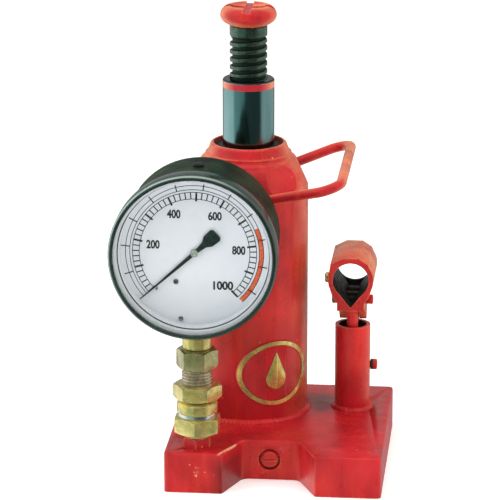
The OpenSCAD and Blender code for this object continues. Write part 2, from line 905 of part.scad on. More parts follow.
// Twelve teeth of a hundred-tooth wheel, so it turns a tenth as far as the pinion.
module sector_gear() {
    color(brass) on_gauge() translate([0, -sector_distance, 0]) {
        post(1.2, 97.9, 103.1);
        translate([0, 0, 99.8]) linear_extrude(1.2) {
            circle(r = 4);
            intersection() {
                circle(r = 24.55, $fn = 180);
                polygon([
                    [0, -2],
                    [40 * cos(53), 40 * sin(53)],
                    [40 * cos(75), 40 * sin(75)],
                    [40 * cos(98), 40 * sin(98)]
                ]);
            }
            for (turn = [-10 : 1])
                rotate(91.8 + turn * 3.6) tooth(25);
        }
    }
}

// A tapered needle with a widening tail, shown at the scale's zero.
module pointer() {
    color(black) on_gauge() rotate([0, 0, pointer_rest]) {
        translate([0, 0, dial_face + 1.1]) linear_extrude(0.6) polygon([
            [48, -0.3], [48, 0.3], [3, 1.3], [-4, 1.5], [-9, 2.2], [-12.5, 4.5], [-19, 4.9],
            [-20.6, 3.4], [-20.6, -3.4], [-19, -4.9], [-12.5, -4.5], [-9, -2.2], [-4, -1.5], [3, -1.3]
        ]);
        translate([0, 0, dial_face + 1.1])
            rotate_extrude() polygon([[0, 0], [2.6, 0], [2.6, 1], [1.9, 1.8], [0, 2]]);
    }
}

module vent_plug() {
    color(rubber) translate([gauge_x, vent_y]) {
        post(2.4, 219.6, 224);
        rotate_extrude() polygon([[0, 223.1], [3.8, 223.1], [3.8, 224.6], [3, 225.4], [0, 225.4]]);
    }
}

// ---- Build ----

base_casting();
weld_beads();
tank_tube();
tank_head();
cylinder_barrel();
cylinder_gasket();
guide_bush();
rod_seal();
ram_wiper();
filler_plug();
carry_handle();
badge_plate();
pump_column();
pump_barrel();
link_lower_pin();
suction_ball();
suction_spring();
oil_strainer();
discharge_ball();
discharge_spring();
discharge_plug();
relief_ball();
relief_spring();
relief_screw();
gallery_plugs();
release_ball();
release_screw();
port_boss();
lower_fitting();
sealing_washer();
swivel_collar();
union_nut();
threaded_nipple();
top_nut();
gauge_socket();
gauge_case();
gauge_bezel();
gauge_window();
window_gasket();
dial_plate();
dial_fixings();
bourdon_tube();
movement_frame();
movement_screws();
vent_plug();
pointer();
pinion_shaft();
sector_gear();
ram();
piston_seal();
saddle();
extension_screw();
pump_plunger();
plunger_seal();
pump_link();
lever_socket();
plunger_pin();
link_pin();
lever_lock_screw();
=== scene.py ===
"""A ten-tonne hydraulic bottle jack with its gauge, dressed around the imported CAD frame.

Lengths are written in millimetres and turned into metres by mm(). Every piece sits at the
origin, so a material's Object coordinates are places in the row frame.
"""

import json
import math

import bmesh
import bpy
from mathutils import Matrix, Vector, noise


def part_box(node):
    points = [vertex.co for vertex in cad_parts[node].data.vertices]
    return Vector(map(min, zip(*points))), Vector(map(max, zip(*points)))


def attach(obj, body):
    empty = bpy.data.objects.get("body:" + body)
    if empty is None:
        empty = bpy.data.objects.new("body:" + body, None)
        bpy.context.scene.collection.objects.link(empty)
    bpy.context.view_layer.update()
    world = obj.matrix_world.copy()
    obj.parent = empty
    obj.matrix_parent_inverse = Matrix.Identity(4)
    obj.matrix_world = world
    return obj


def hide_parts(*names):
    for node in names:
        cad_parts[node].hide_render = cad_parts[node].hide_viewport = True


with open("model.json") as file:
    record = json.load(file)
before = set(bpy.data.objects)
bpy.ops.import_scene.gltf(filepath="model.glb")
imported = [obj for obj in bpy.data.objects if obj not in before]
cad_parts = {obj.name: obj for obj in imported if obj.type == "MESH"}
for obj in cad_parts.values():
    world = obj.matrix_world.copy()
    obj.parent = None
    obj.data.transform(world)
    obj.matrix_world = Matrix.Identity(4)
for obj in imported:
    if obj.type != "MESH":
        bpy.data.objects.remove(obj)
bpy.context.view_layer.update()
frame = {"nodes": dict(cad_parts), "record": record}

MM_PER_M = 1000

# ---- Sizes read from the frame, in millimetres ----


def mm(value):
    """Millimetres to metres."""
    return value / MM_PER_M


def middle(node):
    """Centre of a CAD node's box, in millimetres."""
    low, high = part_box(node)
    return (low + high) * MM_PER_M / 2


def low_corner(node):
    """Lowest corner of a CAD node's box, in millimetres."""
    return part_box(node)[0] * MM_PER_M


def high_corner(node):
    """Highest corner of a CAD node's box, in millimetres."""
    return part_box(node)[1] * MM_PER_M


# Thickness of the dial's flat plate, whose edge is turned forward to the window
DIAL_THICK = 0.8

GAUGE_X = middle("gauge_bezel").x
GAUGE_Z = middle("gauge_bezel").z
DIAL_Y = high_corner("dial_plate").y - DIAL_THICK
PORT_Y = middle("lower_fitting").y
BEZEL_RADIUS = high_corner("gauge_bezel").x - GAUGE_X
BEZEL_FRONT = low_corner("gauge_bezel").y
TANK_RADIUS = high_corner("tank_tube").y
RAM_TOP = high_corner("ram").z
BASE_LOW = low_corner("base_casting")
BASE_HIGH = high_corner("base_casting")
BASE_TOP = BASE_HIGH.z
SADDLE_BASE = low_corner("saddle").z
SADDLE_TOP = high_corner("saddle").z
SCREW_LOW = low_corner("extension_screw").z
COLUMN = middle("pump_column")
SOCKET_MOUNT = next(m for m in frame["record"]["mounts"] if m["name"] == "lever_socket")
SOCKET_AXIS = MM_PER_M * SOCKET_MOUNT["pos_m"][2]

# ---- Sizes of the design that no box gives, in millimetres and degrees ----

# Front face of the step in the base
STEP_FACE = -75.3

COLUMN_RADIUS = 12.4

# Carry handle: its bar, its two bends, how far it reaches and spreads, and how it leans
BAR = 3.5
ARM_START = -12.5
ELBOW_X = 18
ELBOW = 20
CORNER = 12
FLARE = 24
REACH = 71.5
HANDLE_Z = 185.5
HANDLE_TILT = -17.2

# Radius of the extension screw's thread
SCREW_CREST = 13

# Lever socket: the radius of its bore, and the tear-drop opening below the bore's axis
SOCKET_BORE = 12.5
DROP_HALF = 8.5
DROP_LOW = -21
DROP_HIGH = -9

# Dial: the angle of zero, counter-clockwise from +X, the whole sweep and the last reading
SCALE_START = 222
SCALE_SWEEP = 268
SCALE_END = 1000

# ---- Node trees ----


class Nodes:
    """Short calls for building the shader tree of a material or a world."""

    def __init__(self, owner):
        owner.use_nodes = True
        self.nodes = owner.node_tree.nodes
        self.links = owner.node_tree.links

    def add(self, kind, **settings):
        """A new node with the given settings."""
        made = self.nodes.new(kind)
        for key, value in settings.items():
            setattr(made, key, value)
        return made

    def feed(self, socket, value):
        """Links an output to a socket, or sets the socket's plain value."""
        if isinstance(value, bpy.types.NodeSocket):
            self.links.new(value, socket)
        elif isinstance(value, tuple) and len(value) == 3 and socket.type == "RGBA":
            socket.default_value = (*value, 1)
        else:
            socket.default_value = value

    def split(self, vector):
        """The x, y and z outputs of a vector."""
        made = self.add("ShaderNodeSeparateXYZ")
        self.feed(made.inputs[0], vector)
        return made.outputs

    def range(self, value, low, high, to_low=0.0, to_high=1.0):
        """Maps low..high to to_low..to_high, held at the ends."""
        made = self.add("ShaderNodeMapRange")
        self.feed(made.inputs["Value"], value)
        made.inputs["From Min"].default_value = low
        made.inputs["From Max"].default_value = high
        made.inputs["To Min"].default_value = to_low
        made.inputs["To Max"].default_value = to_high
        return made.outputs["Result"]

    def math(self, operation, first, second=0.0):
        """One step of arithmetic."""
        made = self.add("ShaderNodeMath", operation=operation)
        self.feed(made.inputs[0], first)
        self.feed(made.inputs[1], second)
        return made.outputs[0]

    def times(self, first, second):
        """The product of two values."""
        return self.math("MULTIPLY", first, second)

    def minus(self, first, second):
        """The first value less the second."""
        return self.math("SUBTRACT", first, second)

    def length(self, first, second):
        """The length of a slanting line over two distances."""
        squares = self.math("ADD", self.math("POWER", first, 2.0), self.math("POWER", second, 2.0))
        return self.math("SQRT", squares)

    def mix(self, share, first, second, blend="MIX"):
        """A colour mix: share 0 gives first, share 1 gives second."""
        made = self.add("ShaderNodeMix", data_type="RGBA", blend_type=blend)
        self.feed(made.inputs[0], share)
        self.feed(made.inputs[6], first)
        self.feed(made.inputs[7], second)
        return made.outputs[2]

    def either(self, share, first, second):
        """A mix of two shaders: share 0 gives first, share 1 gives second."""
        made = self.add("ShaderNodeMixShader")
        self.feed(made.inputs[0], share)
        self.feed(made.inputs[1], first)
        self.feed(made.inputs[2], second)
        return made.outputs[0]


class Tree(Nodes):
    """The shader tree of a new material."""

    def __init__(self, name):
        self.material = bpy.data.materials.new(name)
        super().__init__(self.material)
        self.surface = self.nodes["Principled BSDF"]

    def set(self, **values):
        """Sets inputs of the Principled node, with _ for each space in a name."""
        for key, value in values.items():
            self.feed(self.surface.inputs[key.replace("_", " ")], value)

    def place(self):
        """The place in the row frame, in metres."""
        return self.add("ShaderNodeTexCoord").outputs["Object"]

    def axes(self):
        """The x, y and z outputs of the place in the row frame."""
        return self.split(self.place())

    def noise(self, size, detail=4, rough=0.55, stretch=(1, 1, 1), shift=(0, 0, 0)):
        """Noise whose lumps are about size millimetres across, from 0 to 1."""
        mapping = self.add("ShaderNodeMapping")
        self.feed(mapping.inputs["Vector"], self.place())
        mapping.inputs["Location"].default_value = shift
        mapping.inputs["Scale"].default_value = tuple(MM_PER_M / size / s for s in stretch)
        made = self.add("ShaderNodeTexNoise")
        self.feed(made.inputs["Vector"], mapping.outputs[0])
        made.inputs["Scale"].default_value = 1
        made.inputs["Detail"].default_value = detail
        made.inputs["Roughness"].default_value = rough
        return made.outputs["Fac"]

    def cells(self, size):
        """Distance to the nearest of scattered points, for pits and specks."""
        mapping = self.add("ShaderNodeMapping")
        self.feed(mapping.inputs["Vector"], self.place())
        mapping.inputs["Scale"].default_value = (MM_PER_M / size,) * 3
        made = self.add("ShaderNodeTexVoronoi")
        self.feed(made.inputs["Vector"], mapping.outputs[0])
        made.inputs["Scale"].default_value = 1
        return made.outputs["Distance"]

    def slant(self):
        """0 where a face is seen square on, and 1 where it is seen edge on."""
        made = self.add("ShaderNodeLayerWeight")
        made.inputs["Blend"].default_value = 0.5
        return made.outputs["Facing"]

    def bump(self, height, depth, normal=None):
        """Turns a height from 0 to 1 into a normal; depth is in millimetres."""
        made = self.add("ShaderNodeBump")
        made.inputs["Strength"].default_value = 1
        made.inputs["Distance"].default_value = mm(depth)
        self.feed(made.inputs["Height"], height)
        if normal is not None:
            self.feed(made.inputs["Normal"], normal)
        return made.outputs[0]

    def corners(self, reach):
        """Two outputs: 1 within about reach millimetres of an edge, and how it points."""
        rounded = self.add("ShaderNodeBevel", samples=4)
        rounded.inputs["Radius"].default_value = mm(reach)
        true = self.add("ShaderNodeNewGeometry")
        turned = self.add("ShaderNodeVectorMath", operation="DOT_PRODUCT")
        self.feed(turned.inputs[0], rounded.outputs[0])
        self.feed(turned.inputs[1], true.outputs["Normal"])
        return self.range(turned.outputs["Value"], 0.99, 0.9), true.outputs["Pointiness"]

    def edges(self, reach=1.0):
        """1 on outward edges, broken up by noise, and 0 elsewhere."""
        near, point = self.corners(reach)
        worn = self.times(near, self.range(point, 0.49, 0.52))
        return self.times(worn, self.range(self.noise(5, 6, 0.7), 0.38, 0.58))

    def hollows(self, reach=1.6):
        """1 along inward corners, where shade is painted, and 0 elsewhere."""
        near, point = self.corners(reach)
        return self.times(near, self.range(point, 0.5, 0.47))


def spread(colour, share):
    """A colour scaled by share."""
    return tuple(c * share for c in colour)


# ---- Red paint ----

RED = (0.52, 0.016, 0.024)
RED_DEEP = (0.34, 0.009, 0.014)
RED_WARM = (0.68, 0.05, 0.02)
RED_PALE = (0.8, 0.25, 0.13)
RED_SHEEN = (0.7, 0.24, 0.1)
RED_HOLLOW_SHADE = (0.07, 0.006, 0.007)
RED_SHADE = (0.1, 0.008, 0.01)
PALE_SCUFF_AND_HIGHLIGHT = (0.84, 0.42, 0.26)


def patch(t, low, high, soft):
    """1 inside a box of the row frame given in millimetres, fading out over soft."""
    inside = None
    for axis, one, two in zip(t.axes(), low, high):
        rise = t.range(axis, mm(one - soft), mm(one + soft))
        fall = t.range(axis, mm(two + soft), mm(two - soft))
        share = t.times(rise, fall)
        inside = share if inside is None else t.times(inside, share)
    return inside


def scratch(t, start, end, width=1.1, fade=4):
    """1 along a line on the base's top between two (x, y) places in millimetres."""
    x, y, z = t.axes()
    run = Vector(end) - Vector(start)
    ahead = run.normalized()

    def measured(direction):
        """Distance from the start along a direction of the floor plane."""
        one = t.times(t.minus(x, mm(start[0])), direction.x)
        two = t.times(t.minus(y, mm(start[1])), direction.y)
        return t.math("ADD", one, two)

    along = measured(ahead)
    across = t.math("ABSOLUTE", measured(Vector((ahead.y, -ahead.x))))
    share = t.range(across, mm(width), mm(0.4 * width))
    share = t.times(share, t.range(z, mm(BASE_TOP - 1.6), mm(BASE_TOP - 0.6)))
    share = t.times(share, t.range(along, 0, mm(fade)))
    return t.times(share, t.range(along, mm(run.length), mm(run.length - fade)))


def mottled(t, shade):
    """The paint's ground: patches of deep, plain and warm red."""
    patches = t.range(t.noise(34, 3), 0.36, 0.66)
    colour = t.mix(patches, spread(RED_DEEP, shade), spread(RED, shade))
    warm = t.range(t.noise(60, 2, shift=(3, 1, 7)), 0.5, 0.75, 0, 0.25)
    return t.mix(warm, colour, RED_WARM)


def veiled(t, colour, painted_sheen):
    """The paint turned orange where it is seen at a slant: a painted sheen."""
    seen = t.range(t.slant(), 0.28, 0.8)
    uneven = t.range(t.noise(16, 3), 0.3, 0.6, 0.3)
    return t.mix(t.times(t.times(seen, uneven), painted_sheen), colour, RED_SHEEN)


def streaked(t, colour, shade):
    """The paint with warm and deep runs down it."""
    runs = t.noise(7, 4, 0.6, stretch=(1, 1, 9), shift=(2, 5, 0))
    colour = t.mix(t.range(runs, 0.52, 0.72, 0, 0.35), colour, spread(RED_WARM, shade))
    return t.mix(t.range(runs, 0.42, 0.28, 0, 0.4), colour, spread(RED_DEEP, 0.75 * shade))


def chipped(t, colour):
    """The paint with pale specks, gathered in places."""
    specks = t.range(t.cells(7), 0.1, 0.04)
    gathered = t.range(t.noise(40, 2, shift=(9, 9, 1)), 0.54, 0.64)
    return t.mix(t.times(specks, gathered), colour, RED_PALE)


def scuffed(t, colour, worn, scratches):
    """The paint rubbed pale inside boxes and paled along lines, as scratches and painted highlights.
    """
    ragged = t.noise(2.4, 5, 0.7, shift=(5, 2, 3))
    for low, high in worn:
        rubbed = t.times(patch(t, low, high, 3), ragged)
        colour = t.mix(t.range(rubbed, 0.36, 0.5), colour, PALE_SCUFF_AND_HIGHLIGHT)
    for start, end in scratches:
        rubbed = t.times(scratch(t, start, end), t.range(ragged, 0.36, 0.48))
        colour = t.mix(rubbed, colour, PALE_SCUFF_AND_HIGHLIGHT)
    return colour


def red_paint(name, cast, cast_depth, painted_sheen, edge_wear_and_highlight=0.75, shade=1.0, worn=(), scratches=(), shade_boxes=()):
    """Glossy red enamel. cast is the lump size of the metal under it, in millimetres.

    painted_sheen is how far the paint turns orange where it is seen at a slant, a painted sheen;
    edge_wear_and_highlight how far its edges are paled, as wear and a painted highlight; and shade
    how light it is, set per part as painted light and shade. worn lists boxes in which it is rubbed
    pale, scratches the ends of pale lines, and shade_boxes boxes darkened as painted shade.
    """
    t = Tree(name)
    # shade paints the whole red lighter or darker: painted light and shade.
    colour = mottled(t, shade)
    # Painted sheen: the paint turns orange where it is seen at a slant.
    colour = veiled(t, colour, painted_sheen)
    colour = streaked(t, colour, shade)
    # Edges paled: worn paint and a painted highlight.
    colour = t.mix(t.times(t.edges(), edge_wear_and_highlight), colour, RED_PALE)
    colour = chipped(t, colour)
    # Painted shade: inward corners darkened.
    colour = t.mix(t.times(t.hollows(), 0.8), colour, RED_HOLLOW_SHADE)
    colour = scuffed(t, colour, worn, scratches)
    # Painted shade: the paint darkened inside boxes.
    for low, high in shade_boxes:
        colour = t.mix(t.times(patch(t, low, high, 5), 0.75), colour, RED_SHADE)
    lumps = t.bump(t.noise(cast, 4, 0.6), cast_depth)
    t.set(
        Base_Color=colour,
        Roughness=t.range(t.noise(12, 5), 0.3, 0.7, 0.22, 0.4),
        Normal=t.bump(t.noise(1.6, 3), 0.025, lumps),
        Specular_IOR_Level=0.7,
        Specular_Tint=(1, 0.52, 0.42),
    )
    return t.material


# ---- Metals ----

# Stretch that draws noise out into fine lines round an upright axis
TURNED = (8, 8, 1)


def steel(name, light, dark, rough=(0.2, 0.4), stretch=(1, 1, 1)):
    """Bare or blackened metal with fine grain, drawn out along the stretched axes."""
    t = Tree(name)
    colour = t.mix(t.range(t.noise(16, 5), 0.35, 0.65), dark, light)
    grain = t.noise(1.2, 6, 0.7, stretch)
    t.set(
        Base_Color=t.mix(t.range(grain, 0.4, 0.7, 0, 0.5), colour, dark),
        Metallic=1.0,
        Roughness=t.range(grain, 0.3, 0.7, *rough),
        Normal=t.bump(grain, 0.02),
    )
    return t.material


def screw_steel():
    """Blackened screw: worn crests over dark roots, dark with oil and with painted shade."""
    t = Tree("screw_steel")
    axes = t.axes()
    radius = t.length(axes["X"], axes["Y"])
    crest = t.range(radius, mm(SCREW_CREST - 1.1), mm(SCREW_CREST - 0.3))
    worn = t.times(crest, t.range(t.noise(4, 5, 0.65), 0.3, 0.55, 0.45))
    t.set(
        # The roots' darker colour is partly painted shade in the thread's valleys.
        Base_Color=t.mix(worn, (0.03, 0.045, 0.036), (0.085, 0.14, 0.1)),
        Metallic=0.9,
        Roughness=t.range(worn, 0.2, 0.9, 0.6, 0.24),
        Normal=t.bump(t.noise(0.9, 5, 0.7, (6, 6, 1)), 0.03),
    )
    return t.material


def limit_band(t, z):
    """1 on the limit band that is painted round the ram just below its top face."""
    height = t.math("ADD", z, t.times(t.noise(3, 3), mm(0.5)))
    above = t.range(height, mm(RAM_TOP - 5.5), mm(RAM_TOP - 5.3))
    below = t.range(height, mm(RAM_TOP - 0.9), mm(RAM_TOP - 1.1))
    return t.times(above, below)


def ram_metal():
    """Ground and oiled ram, with its dark top face and its red limit band, which turns orange at a
    slant as a painted sheen.
    """
    t = Tree("ram_metal")
    z = t.axes()["Z"]
    oily = t.range(t.noise(20, 4, stretch=(1, 1, 6)), 0.35, 0.65)
    colour = t.mix(oily, (0.12, 0.23, 0.22), (0.21, 0.36, 0.36))
    top = t.range(z, mm(RAM_TOP - 0.9), mm(RAM_TOP - 0.6))
    colour = t.mix(top, colour, (0.02, 0.025, 0.02))
    # Painted sheen: the band turns orange where it is seen at a slant.
    band_red_with_sheen = t.mix(t.range(t.slant(), 0.2, 0.55), (0.4, 0.014, 0.025), (0.62, 0.19, 0.1))
    banded = limit_band(t, z)
    colour = t.mix(banded, colour, band_red_with_sheen)
    specks = t.range(t.cells(5), 0.07, 0.03)
    scratches = t.noise(0.5, 5, 0.8, (1, 1, 30))
    t.set(
        Base_Color=t.mix(t.times(specks, 0.4), colour, (0.5, 0.6, 0.55)),
        Metallic=t.minus(1.0, banded),
        Roughness=t.range(scratches, 0.35, 0.7, 0.1, 0.24),
        Normal=t.bump(scratches, 0.008),
    )
    return t.material


def zinc_brass(name, gold, olive, pale):
    """Yellow passivated steel: gold with olive patches, pale wear and turned lines."""
    t = Tree(name)
    colour = t.mix(t.range(t.noise(7, 5, 0.6), 0.38, 0.62), olive, gold)
    rubbed = t.range(t.noise(3, 6, 0.7, shift=(4, 4, 4)), 0.56, 0.72, 0, 0.6)
    colour = t.mix(rubbed, colour, pale)
    colour = t.mix(t.edges(0.7), colour, pale)
    t.set(
        Base_Color=colour,
        Metallic=0.7,
        Roughness=t.range(t.noise(2.5, 4), 0.3, 0.7, 0.16, 0.3),
        Normal=t.bump(t.noise(0.5, 4, 0.6, TURNED), 0.02, t.bump(t.noise(2, 3), 0.02)),
        Coat_Weight=0.4,
        Coat_Roughness=0.12,
    )
    return t.material


# ---- Gauge, rubber, and dirt with painted shade ----


def baked_black():
    """Satin black-green enamel on the gauge, rubbed paler on its edges."""
    t = Tree("baked_black")
    colour = t.mix(t.range(t.noise(22, 4), 0.35, 0.65), (0.002, 0.007, 0.003), (0.01, 0.026, 0.009))
    colour = t.mix(t.times(t.edges(), 0.7), colour, (0.2, 0.25, 0.23))
    dust = t.range(t.noise(1.8, 6, 0.75), 0.6, 0.74, 0, 0.35)
    t.set(
        Base_Color=t.mix(dust, colour, (0.03, 0.07, 0.026)),
        Roughness=t.range(t.noise(8, 4), 0.3, 0.7, 0.5, 0.68),
        Normal=t.bump(t.noise(0.9, 3), 0.03),
        Specular_IOR_Level=0.2,
    )
    return t.material


def rubbed_rim(t):
    """1 on the bezel's front outer corner, most of all at the upper left, and 0 elsewhere: wear, with
    a painted highlight at the upper left.
    """
    axes = t.axes()
    across = t.minus(axes["X"], mm(GAUGE_X))
    up = t.minus(axes["Z"], mm(GAUGE_Z))
    rim = t.range(t.length(across, up), mm(BEZEL_RADIUS - 1.3), mm(BEZEL_RADIUS - 0.9))
    front = t.range(axes["Y"], mm(BEZEL_FRONT + 2.2), mm(BEZEL_FRONT + 1.8))
    broken = t.range(t.noise(7, 4, 0.6), 0.25, 0.45, 0.5)
    # Painted highlight: the rubbed rim is kept paler towards the upper left.
    lit_upper_left = t.range(t.minus(t.times(up, 0.6), across), mm(-12), mm(34), 0.05)
    return t.times(t.times(t.times(rim, front), broken), lit_upper_left)


def bezel_black():
    """Gloss black on the bezel, with its corner rubbed to the metal and paled most at the upper left
    as a painted highlight.
    """
    t = Tree("bezel_black")
    worn = rubbed_rim(t)
    colour = t.mix(t.range(t.noise(18, 4), 0.35, 0.65), (0.004, 0.012, 0.008), (0.012, 0.028, 0.02))
    t.set(
        Base_Color=t.mix(worn, colour, (0.34, 0.44, 0.4)),
        Metallic=t.times(worn, 0.8),
        Roughness=t.range(t.noise(5, 4), 0.3, 0.7, 0.2, 0.34),
        Normal=t.bump(t.noise(1.2, 3), 0.015),
        Coat_Weight=0.25,
    )
    return t.material


def dial_ground():
    """White dial paint, slightly mottled, and darker towards the bottom as painted shade."""
    t = Tree("dial_ground")
    # Painted shade: the dial is darker towards the bottom.
    lower = t.range(t.axes()["Z"], mm(GAUGE_Z - 50), mm(GAUGE_Z - 15))
    colour = t.mix(lower, (0.56, 0.565, 0.62), (0.675, 0.67, 0.74))
    colour = t.mix(t.range(t.noise(9, 5), 0.42, 0.75, 0, 0.3), colour, (0.53, 0.55, 0.6))
    t.set(Base_Color=colour, Roughness=0.6, Normal=t.bump(t.noise(0.7, 2), 0.004))
    return t.material


def ink(name, dark, light):
    """Printing ink on the dial, slightly uneven."""
    t = Tree(name)
    t.set(Base_Color=t.mix(t.range(t.noise(1.2, 3), 0.4, 0.7), dark, light), Roughness=0.55)
    return t.material


def rubber():
    """Black rubber, dusty in patches."""
    t = Tree("nitrile_rubber")
    dusty = t.range(t.noise(6, 5), 0.4, 0.7)
    t.set(
        Base_Color=t.mix(dusty, (0.006, 0.007, 0.006), (0.028, 0.03, 0.027)),
        Roughness=t.range(t.noise(3, 4), 0.3, 0.7, 0.5, 0.75),
        Normal=t.bump(t.noise(0.6, 4), 0.03),
    )
    return t.material


def grime():
    """Oil and dust inside the lever socket and round its pins, dark also as painted shade there."""
    t = Tree("oily_grime_and_painted_shade")
    dusty = t.range(t.noise(5, 5), 0.4, 0.65)
    t.set(
        Base_Color=t.mix(dusty, (0.004, 0.008, 0.005), (0.02, 0.028, 0.018)),
        Roughness=t.range(t.noise(3, 4), 0.3, 0.7, 0.35, 0.7),
        Normal=t.bump(t.noise(1.2, 5), 0.12),
    )
    return t.material


def window_glass():
    """Thin clear glass: it shows what is behind it and mirrors more at a slant."""
    t = Tree("window_glass")
    clear = t.add("ShaderNodeBsdfTransparent")
    clear.inputs["Color"].default_value = (0.97, 0.99, 0.98, 1)
    mirror = t.add("ShaderNodeBsdfGlossy")
    t.feed(mirror.inputs["Roughness"], t.range(t.noise(9, 3), 0.3, 0.7, 0.02, 0.06))
    slant = t.add("ShaderNodeFresnel")
    slant.inputs["IOR"].default_value = 1.3
    # Only the face the ray enters by mirrors: from inside, a slanting ray would be shut in.
    leaving = t.add("ShaderNodeNewGeometry").outputs["Backfacing"]
    share = t.times(slant.outputs[0], t.minus(1.0, leaving))
    blend = t.either(share, clear.outputs[0], mirror.outputs[0])
    t.feed(t.nodes["Material Output"].inputs["Surface"], blend)
    t.nodes.remove(t.surface)
    return t.material


# ---- The materials by name ----

# Where the paint is rubbed: the left foot's front and the top beside the pump's column.
WORN = (
    ((-30, -109, 9), (-21, -105, 21)),
    ((86, 6, BASE_TOP - 2), (94, 22, BASE_TOP + 2)),
    ((91, -12, BASE_TOP - 2), (98, -2, BASE_TOP + 2)),
)
# Where a pale line is painted along the upper edge of the step's slanting side: a scratch and a
# painted highlight.
EDGE_SCRATCH_AND_HIGHLIGHT = (((-11, -108), (0.6, -83)),)
# Painted shade: where the paint is darkened between tank and pump, and on the slanting side of the
# step.
PAINTED_SHADE_BOXES = (
    ((44, -10, BASE_TOP - 8), (60, 26, BASE_TOP + 8)),
    ((-14, -120, -6), (5, -74, 24)),
)

MATS = {
    "red_base": red_paint(
        "red_enamel_on_base", 12, 0.2, 0, worn=WORN, scratches=EDGE_SCRATCH_AND_HIGHLIGHT, shade_boxes=PAINTED_SHADE_BOXES
    ),
    "red_weld": red_paint("red_enamel_on_weld", 5, 0.2, 0, edge_wear_and_highlight=0),
    # The shade values are painted light and shade: casting and tube darker, pump lighter.
    "red_cast": red_paint("red_enamel_on_casting", 9, 0.32, 0.85, shade=0.88),
    "red_tube": red_paint("red_enamel_on_tube", 18, 0.12, 0.45, shade=0.8),
    "red_pump": red_paint("red_enamel_on_pump", 14, 0.14, 0.3, shade=1.08),
    "screw_steel": screw_steel(),
    "black_enamel": baked_black(),
    "bezel_black": bezel_black(),
    "dial_white": dial_ground(),
    "pointer_black": ink("pointer_black", (0.004, 0.012, 0.009), (0.02, 0.04, 0.032)),
    "hub_grey": ink("hub_grey", (0.2, 0.25, 0.2), (0.42, 0.46, 0.4)),
    "ink_black": ink("dial_ink", (0.006, 0.014, 0.012), (0.03, 0.05, 0.045)),
    "ink_red": ink("dial_red", (0.62, 0.05, 0.02), (0.8, 0.2, 0.05)),
    "hard_chrome": ram_metal(),
    "dark_steel": steel(
        "blackened_steel", (0.16, 0.22, 0.2), (0.04, 0.06, 0.05), (0.22, 0.42), (9, 9, 1)
    ),
    "steel": steel("turned_steel", (0.6, 0.61, 0.62), (0.36, 0.37, 0.38), (0.22, 0.4), TURNED),
    "zinc_steel": steel("bright_zinc", (0.86, 0.86, 0.84), (0.6, 0.62, 0.6), (0.18, 0.34)),
    "brass": zinc_brass("yellow_zinc", (0.7, 0.56, 0.16), (0.42, 0.38, 0.12), (0.92, 0.88, 0.66)),
    "olive_brass": zinc_brass("olive_zinc", (0.42, 0.37, 0.15), (0.27, 0.26, 0.1), (0.66, 0.64, 0.44)),
    "nipple_zinc": zinc_brass("worn_zinc", (0.5, 0.42, 0.26), (0.3, 0.25, 0.15), (0.82, 0.78, 0.66)),
    "bronze": steel("bored_bronze", (0.6, 0.4, 0.2), (0.38, 0.24, 0.12)),
    "copper": steel("soft_copper", (0.7, 0.4, 0.28), (0.45, 0.24, 0.16)),
    "rusty_pin": zinc_brass("rusty_pin", (0.4, 0.24, 0.08), (0.22, 0.1, 0.04), (0.6, 0.44, 0.22)),
    "badge_metal": zinc_brass("gilt_badge", (0.8, 0.62, 0.16), (0.5, 0.38, 0.1), (0.95, 0.88, 0.5)),
    "seal_rubber": rubber(),
    "window_glass": window_glass(),
    "grime": grime(),
}
# The record's slots whose material has another name here
SLOT_MATS = {"red_enamel": "red_cast"}


def slot_of(node):
    """The record's material slot of a CAD node."""
    return next(e["material_slot"] for e in frame["record"]["subparts"] if e["node"] == node)


def body_of(node):
    """The CAD body that a node rides on."""
    bodies = frame["record"]["behaviour"]["bodies"]
    return next(body for body, members in bodies.items() if node in members)


for node, thing in frame["nodes"].items():
    slot = slot_of(node)
    if not thing.material_slots:
        thing.data.materials.append(None)
    for holder in thing.material_slots:
        holder.link = "OBJECT"
        holder.material = MATS[SLOT_MATS.get(slot, slot)]

# ---- Mesh helpers ----


def add_piece(name, mesh, body):
    """An object of a finished mesh, on its body."""
    made = bpy.data.objects.new(name, mesh)
    bpy.context.scene.collection.objects.link(made)
    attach(made, body)
    return made


def finish_piece(name, bm, materials, body, node=None, sharp=35):
    """Makes a piece from a bmesh in millimetres, shades it and puts it on its body."""
    for corner in bm.verts:
        corner.co *= mm(1)
    bmesh.ops.recalc_face_normals(bm, faces=bm.faces)
    mesh = bpy.data.meshes.new(name)
    bm.to_mesh(mesh)
    bm.free()
    for key in materials:
        mesh.materials.append(MATS[key])
    for face in mesh.polygons:
        face.use_smooth = True
    mesh.set_sharp_from_angle(angle=math.radians(sharp))
    made = add_piece(name, mesh, body)
    if node:
        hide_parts(node)


def stand_in(node, bm, materials, sharp=35):
    """Makes a piece in a CAD node's place, on its body and in its slot."""
    finish_piece(node + "_body", bm, materials, body_of(node), node, sharp)


def cad_bmesh(node):
    """A CAD node's mesh in millimetres, with its flat faces joined up."""
    bm = bmesh.new()
    bm.from_mesh(frame["nodes"][node].data)
    for corner in bm.verts:
        corner.co *= MM_PER_M
    bmesh.ops.remove_doubles(bm, verts=bm.verts, dist=0.002)
    bmesh.ops.dissolve_limit(
        bm, angle_limit=math.radians(0.4), verts=bm.verts, edges=bm.edges, delimit=set()
    )
    return bm


def round_edges(bm, width, segments=2, angle=28, pick=None):
    """Rounds every edge sharper than angle, or only those that pick allows."""
    chosen = [
        e
        for e in bm.edges
        if len(e.link_faces) == 2
        and e.calc_face_angle(0) > math.radians(angle)
        and (pick is None or pick(e))
    ]
    bmesh.ops.bevel(
        bm,
        geom=chosen,
        offset=width,
        offset_type="OFFSET",
        segments=segments,
        profile=0.5,
        affect="EDGES",
        clamp_overlap=True,
    )


